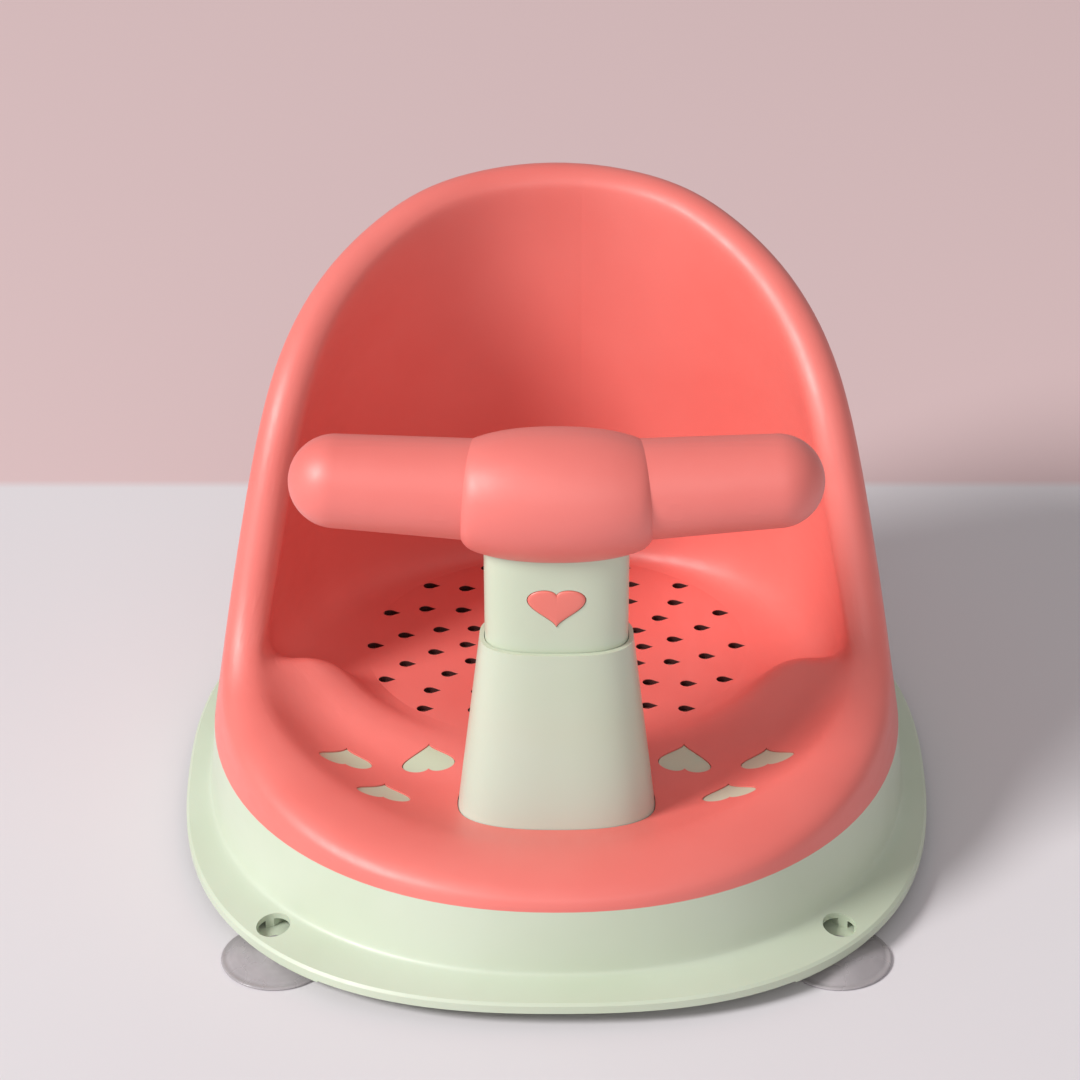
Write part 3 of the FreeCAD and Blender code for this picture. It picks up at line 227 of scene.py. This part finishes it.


# the seat's finish carries painted shade on the walls of its seed holes
coral_seat = moulded_plastic(
    "coral seat plastic", CORAL, CORAL_DEEP, 0.48, paint=painted_shade_in_seed_holes)
coral_bar = moulded_plastic(
    "coral bar plastic", screen_colour(235, 121, 113), screen_colour(230, 112, 104), 0.50, 0.14)
coral_heart = moulded_plastic(
    "coral heart plastic", screen_colour(236, 126, 112), screen_colour(230, 115, 102), 0.36, 0.06)
green_rind = moulded_plastic("pale green rind plastic", RIND_GREEN, RIND_GREEN_DEEP, 0.44)
green_post = moulded_plastic(
    "pale green post plastic", screen_colour(201, 209, 187), RIND_GREEN_DEEP, 0.40, 0.08)
# the sleeve's finish carries a painted tint at its foot that cancels the coral deck's red bounce light
green_sleeve = moulded_plastic(
    "pale green sleeve plastic", screen_colour(201, 209, 190), RIND_GREEN_DEEP, 0.40, 0.08,
    paint=painted_tint_against_bounce_at_foot, painted_light_tone=FOOT_TINT_AGAINST_BOUNCE)
green_insert = moulded_plastic(
    "pale green heart plastic", screen_colour(192, 202, 172), RIND_GREEN_DEEP, 0.42, 0.06)
print("moulded finishes:", 7)

# %% [markdown]
# ## Screws, spring and latch
# The fasteners are plain steel with turning marks: a fine stretched noise under a metal shader.
# The latch tongue is a springy white acetal, smoother and a little see-through.

# %% Steel and acetal finishes
def turned_steel(name, colour, roughness):
    finish, tree, shader, place = new_finish(name)
    marks = noise(tree, place, 900.0, 3.0, (1.0, 1.0, 6.0))
    tint = tuple(0.8 * v for v in colour[:3]) + (1.0,)
    tree.links.new(mixed(tree, spread(tree, marks, 0.3, 0.7), colour, tint), shader.inputs["Base Color"])
    dulled = spread(tree, marks, 0.2, 0.8, roughness - 0.06, roughness + 0.1)
    tree.links.new(dulled, shader.inputs["Roughness"])
    shader.inputs["Metallic"].default_value = 1.0
    bumps(tree, shader, [(marks, 0.2, 0.00008)])
    return finish


screw_steel = turned_steel("zinc plated screw steel", screen_colour(200, 201, 205), 0.34)
spring_steel = turned_steel("spring steel wire", screen_colour(178, 178, 182), 0.26)
tongue_acetal = moulded_plastic(
    "white acetal", screen_colour(236, 236, 230), screen_colour(226, 226, 220), 0.30, 0.04, 0.15)

# %% [markdown]
# ## Clear grey suction cups
# The cups are soft, smoky and half see-through. Light passes in, spreads and comes out again, so
# the shader mixes transmission with some scattering, and a fine flow pattern runs round each cup.

# %% The cup finish
def soft_clear_rubber(name, colour):
    finish, tree, shader, place = new_finish(name)
    haze = spread(tree, noise(tree, place, 60.0, 3.0), 0.3, 0.7)
    darker = tuple(0.82 * v for v in colour[:3]) + (1.0,)
    tree.links.new(mixed(tree, haze, colour, darker), shader.inputs["Base Color"])
    shader.inputs["Transmission Weight"].default_value = 0.35
    shader.inputs["IOR"].default_value = 1.43
    tree.links.new(spread(tree, haze, 0.0, 1.0, 0.22, 0.34), shader.inputs["Roughness"])
    ripple = noise(tree, place, 320.0, 2.0)
    bumps(tree, shader, [(ripple, 0.08, 0.0003)])
    return finish


cup_rubber = soft_clear_rubber("smoky soft cup rubber", screen_colour(206, 200, 203))

# %% [markdown]
# ## Dress the solids
# A solid whose shape is right keeps its mesh and only gets its finish. The meshes come as loose
# triangles that already point the right way, so nothing about them is changed here.

# %% Give each solid its finish
def dress(node, finish):
    piece = nodes[node]
    if not piece.material_slots:
        piece.data.materials.append(finish)
    for slot in piece.material_slots:
        slot.material = finish


FINISHES = {
    coral_seat: ("seat_shell",),
    coral_bar: ("bar_front_shell", "bar_rear_shell", "bar_screw_caps"),
    coral_heart: ("heart_button",),
    green_rind: ("base_rind",),
    green_insert: ("heart_inserts",),
    green_sleeve: ("post_sleeve",),
    green_post: ("guard_stem", "stem_plug"),
    tongue_acetal: ("latch_tongue",),
    spring_steel: ("button_spring",),
    screw_steel: ("seat_screws", "sleeve_screws", "plug_screws", "bar_screws"),
    cup_rubber: (
        "suction_cup_front_left", "suction_cup_front_right",
        "suction_cup_rear_left", "suction_cup_rear_right"),
}
for finish, dressed in FINISHES.items():
    for node in dressed:
        dress(node, finish)
print("solids dressed:", sum(len(names) for names in FINISHES.values()))

# %% [markdown]
# ## The suction cups, turned again
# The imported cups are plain. A real one has a rolled lip, a few fine rings on its cone and a round
# knob. Its half outline is drawn with one vertex that is extruded from point to point, and a full
# spin turns it. A subdivision surface then rounds what lies between the points.

# %% Draw and spin a cup
CUP_HOLLOW_MM = ((8.0, 2.75), (14.0, 2.1), (19.0, 1.1), (22.4, 0.3), (22.9, 0.02), (24.4, 0.0))
CUP_LIP_MM = ((24.9, 0.25), (25.0, 0.75), (24.7, 1.2), (24.0, 1.42), (23.3, 1.3), (22.7, 1.32))
CUP_NECK_MM = (
    (8.6, 5.25), (7.3, 5.7), (6.6, 5.88), (4.1, 5.9), (3.98, 6.0), (3.98, 8.4), (4.1, 8.5), (5.0, 8.52),
    (5.2, 8.7), (5.15, 9.3), (4.5, 9.95), (3.1, 10.4), (1.5, 10.62),
)
CONE_EDGE_MM = (21.9, 1.45)
CONE_TOP_MM = (9.2, 5.0)
RING_STEP_MM = 0.85
RING_HEIGHT_MM = 0.06
SPIN_STEPS = 72


def cup_outline():
    cone = []
    radius, edge_height = CONE_EDGE_MM
    while radius > CONE_TOP_MM[0]:
        share = (CONE_EDGE_MM[0] - radius) / (CONE_EDGE_MM[0] - CONE_TOP_MM[0])
        rise = edge_height + (CONE_TOP_MM[1] - edge_height) * share ** 0.8
        ripple = RING_HEIGHT_MM if len(cone) % 4 == 1 else 0.0
        cone.append((radius, rise + ripple))
        radius -= RING_STEP_MM
    return ((0.0, 3.0),) + CUP_HOLLOW_MM + CUP_LIP_MM + tuple(cone) + CUP_NECK_MM + ((0.0, 10.7),)


def finish_mesh(work, name, material):
    bmesh.ops.remove_doubles(work, verts=work.verts, dist=0.001 * MM)
    bmesh.ops.recalc_face_normals(work, faces=work.faces)
    for face in work.faces:
        face.smooth = True
    mesh = bpy.data.meshes.new(name)
    work.to_mesh(mesh)
    work.free()
    mesh.materials.append(material)
    piece = bpy.data.objects.new(name, mesh)
    bpy.context.scene.collection.objects.link(piece)
    return piece


def add_subdivision(piece, levels):
    rounding = piece.modifiers.new("rounding", "SUBSURF")
    rounding.levels = levels
    rounding.render_levels = levels
    return piece


def turned_cup(node):
    low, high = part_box(node)
    centre = Vector(((low[0] + high[0]) / 2, (low[1] + high[1]) / 2, 0.0))
    work = bmesh.new()
    points = cup_outline()
    tip = bmesh.ops.create_vert(work, co=(points[0][0] * MM, 0.0, points[0][1] * MM))["vert"][0]
    for radius, height in points[1:]:
        grown = bmesh.ops.extrude_vert_indiv(work, verts=[tip])
        tip = grown["verts"][0]
        tip.co = (radius * MM, 0.0, height * MM)
    bmesh.ops.spin(
        work, geom=work.verts[:] + work.edges[:], cent=(0.0, 0.0, 0.0), axis=(0.0, 0.0, 1.0),
        angle=2 * math.pi, steps=SPIN_STEPS, use_merge=True)
    bmesh.ops.translate(work, verts=work.verts, vec=centre)
    cup = add_subdivision(finish_mesh(work, "turned_" + node, cup_rubber), 1)
    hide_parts(node)
    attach(cup, "seat")
    return cup


CUP_NODES = [name for name in nodes if name.startswith("suction_cup_")]
for node in CUP_NODES:
    turned_cup(node)
print("cups turned:", len(CUP_NODES))

# %% [markdown]
# ## The heart button, remade with a soft edge
# A circle of vertices is moved onto a heart, which is a sum of four waves. Rings of that heart are
# extruded one after the other, each with its own size and depth: the pad inside, the flange that
# keeps the button in, its side, the rounded edge and the slightly domed face.

# %% Grow the button ring by ring
HEART_WAVES = (13.0, -4.0, -1.2, -0.6)
BUTTON_HEIGHT = 170.0 * MM
BUTTON_WIDTH = 25.7 * MM
BUTTON_LENGTH = 18.8 * MM
BUTTON_BEND = 0.44 * MM
FLANGE_DEPTH = 5.9 * MM
HEART_POINTS = 120


def heart_place(share):
    turn = 2 * math.pi * share
    waves = sum(size * math.cos((k + 1) * turn) for k, size in enumerate(HEART_WAVES))
    return math.sin(turn) ** 3, waves


def heart_button():
    low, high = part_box("heart_button")
    front, back = low[1], high[1]
    shares = [step / HEART_POINTS for step in range(HEART_POINTS)]
    heart = [heart_place(share) for share in shares]
    top, bottom = max(p[1] for p in heart), min(p[1] for p in heart)
    flange_back = front + FLANGE_DEPTH
    rings = (
        (0.0, back), (0.36, back), (0.38, flange_back), (1.2, flange_back),
        (1.22, flange_back - 0.2 * MM), (1.22, flange_back - 1.8 * MM),
        (1.2, flange_back - 2.0 * MM), (1.0, flange_back - 2.0 * MM),
        (1.0, front + 1.3 * MM), (0.998, front + 0.95 * MM), (0.985, front + 0.68 * MM),
        (0.955, front + 0.42 * MM), (0.90, front + 0.26 * MM), (0.78, front + 0.13 * MM),
        (0.55, front + 0.05 * MM), (0.3, front), (0.0, front),
    )
    work = bmesh.new()
    loop = bmesh.ops.create_circle(work, cap_ends=False, segments=HEART_POINTS, radius=1.0)["verts"]
    order = sorted(loop, key=lambda vert: vert.index)
    edges = work.edges[:]

    def lay(verts, size, depth):
        for vert, (across, wave) in zip(verts, heart):
            up = (wave - bottom) / (top - bottom) - 0.5
            x = across * BUTTON_WIDTH / 2 * size
            bend = BUTTON_BEND * (x / (BUTTON_WIDTH / 2)) ** 2
            vert.co = (x, depth + bend, BUTTON_HEIGHT + up * BUTTON_LENGTH * size)

    lay(order, *rings[0])
    for size, depth in rings[1:]:
        grown = bmesh.ops.extrude_edge_only(work, edges=edges)["geom"]
        edges = [item for item in grown if isinstance(item, bmesh.types.BMEdge) and item.is_boundary]
        fresh = {item for item in grown if isinstance(item, bmesh.types.BMVert)}
        order = [
            next(edge.other_vert(vert) for edge in vert.link_edges if edge.other_vert(vert) in fresh)
            for vert in order
        ]
        lay(order, size, depth)
    button = finish_mesh(work, "domed_heart_button", coral_heart)
    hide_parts("heart_button")
    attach(button, "release_button")
    return button


heart_button()
print("heart button points round its edge:", HEART_POINTS)

# %% [markdown]
# ## Studio
# The floor is one large plane. It is pale grey under the seat and turns to a dusty pink further
# back, by its own Object coordinates, so that it reads as a floor and a wall without a wall that
# would stand in the way of a view from behind.

# %% Floor
FLOOR_GREY = screen_colour(229, 226, 229)
FLOOR_GREY_DEEP = screen_colour(223, 219, 223)
WALL_PINK = screen_colour(222, 196, 197)
WALL_START = 0.292
WALL_EDGE = 0.004
SHEET_HALF_SIZE = 6.0


def studio_floor():
    sheet = bmesh.new()
    bmesh.ops.create_grid(sheet, x_segments=1, y_segments=1, size=SHEET_HALF_SIZE)
    mesh = bpy.data.meshes.new("studio_floor")
    sheet.to_mesh(mesh)
    sheet.free()
    floor = bpy.data.objects.new("studio_floor", mesh)
    bpy.context.scene.collection.objects.link(floor)
    finish, tree, shader, place = new_finish("studio floor paper")
    parts = tree.nodes.new("ShaderNodeSeparateXYZ")
    tree.links.new(place, parts.inputs["Vector"])
    back = spread(tree, parts.outputs["Y"], WALL_START - WALL_EDGE, WALL_START + WALL_EDGE)
    soft = spread(tree, noise(tree, place, 1.5, 2.0), 0.3, 0.7)
    front_tone = mixed(tree, soft, FLOOR_GREY, FLOOR_GREY_DEEP)
    tree.links.new(mixed(tree, back, front_tone, WALL_PINK), shader.inputs["Base Color"])
    shader.inputs["Roughness"].default_value = 0.75
    shader.inputs["Specular IOR Level"].default_value = 0.2
    bumps(tree, shader, [(noise(tree, place, 900.0, 2.0), 0.05, 0.0002)])
    mesh.materials.append(finish)
    return floor


studio_floor()
print("floor made")

# %% [markdown]
# ## Light
# One large soft lamp stands at the left, low enough to throw a long shadow to the right, and a
# weaker one fills from the front. The world gives an even, slightly warm ambient light.

# %% Lamps and world
def soft_lamp(name, place, aim, width, watts, tint):
    data = bpy.data.lights.new(name, "AREA")
    data.shape = "DISK"
    data.size = width
    data.energy = watts
    data.color = tint
    lamp = bpy.data.objects.new(name, data)
    bpy.context.scene.collection.objects.link(lamp)
    lamp.location = place
    lamp.rotation_euler = (Vector(aim) - Vector(place)).to_track_quat("-Z", "Y").to_euler()
    return lamp


SEAT_MIDDLE = (0.0, 0.0, 0.1)
LAMP_TINT = (1.0, 0.99, 0.98)
AIR_TINT = (1.0, 0.96, 0.97, 1.0)
AIR_STRENGTH = 0.36
soft_lamp("key_lamp", (-6.5, -3.6, 5.6), SEAT_MIDDLE, 3.2, 800.0, LAMP_TINT)
soft_lamp("front_fill_lamp", (0.3, -2.4, 1.6), SEAT_MIDDLE, 1.6, 10.0, LAMP_TINT)
world = bpy.data.worlds.new("studio_air")
bpy.context.scene.world = world
world.use_nodes = True
air = world.node_tree.nodes["Background"]
air.inputs["Color"].default_value = AIR_TINT
air.inputs["Strength"].default_value = AIR_STRENGTH
bpy.context.scene.view_settings.view_transform = "Standard"
print("lamps:", 2)

# %% [markdown]
# ## Camera
# The picture was taken with a long lens from in front and above. The place, the tilt and the lens
# below were worked out from the ellipses of the base and the suction cups.

# %% Camera
CAMERA_PLACE = (0.0, -1798.2 * MM, 1221.0 * MM)
CAMERA_TILT_DEG = 31.0
CAMERA_LENS = 150.57
CAMERA_SHIFT = -0.0153
SENSOR_WIDTH = 36.0
SIGHT_LIMIT = 20.0
camera_data = bpy.data.cameras.new("picture_camera")
camera = bpy.data.objects.new("picture_camera", camera_data)
bpy.context.scene.collection.objects.link(camera)
camera.location = CAMERA_PLACE
camera.rotation_euler = (math.radians(90.0 - CAMERA_TILT_DEG), 0.0, 0.0)
camera_data.sensor_width = SENSOR_WIDTH
camera_data.lens = CAMERA_LENS
camera_data.shift_x = CAMERA_SHIFT
camera_data.clip_end = SIGHT_LIMIT
bpy.context.scene.camera = camera
print("camera lens in mm:", camera_data.lens)
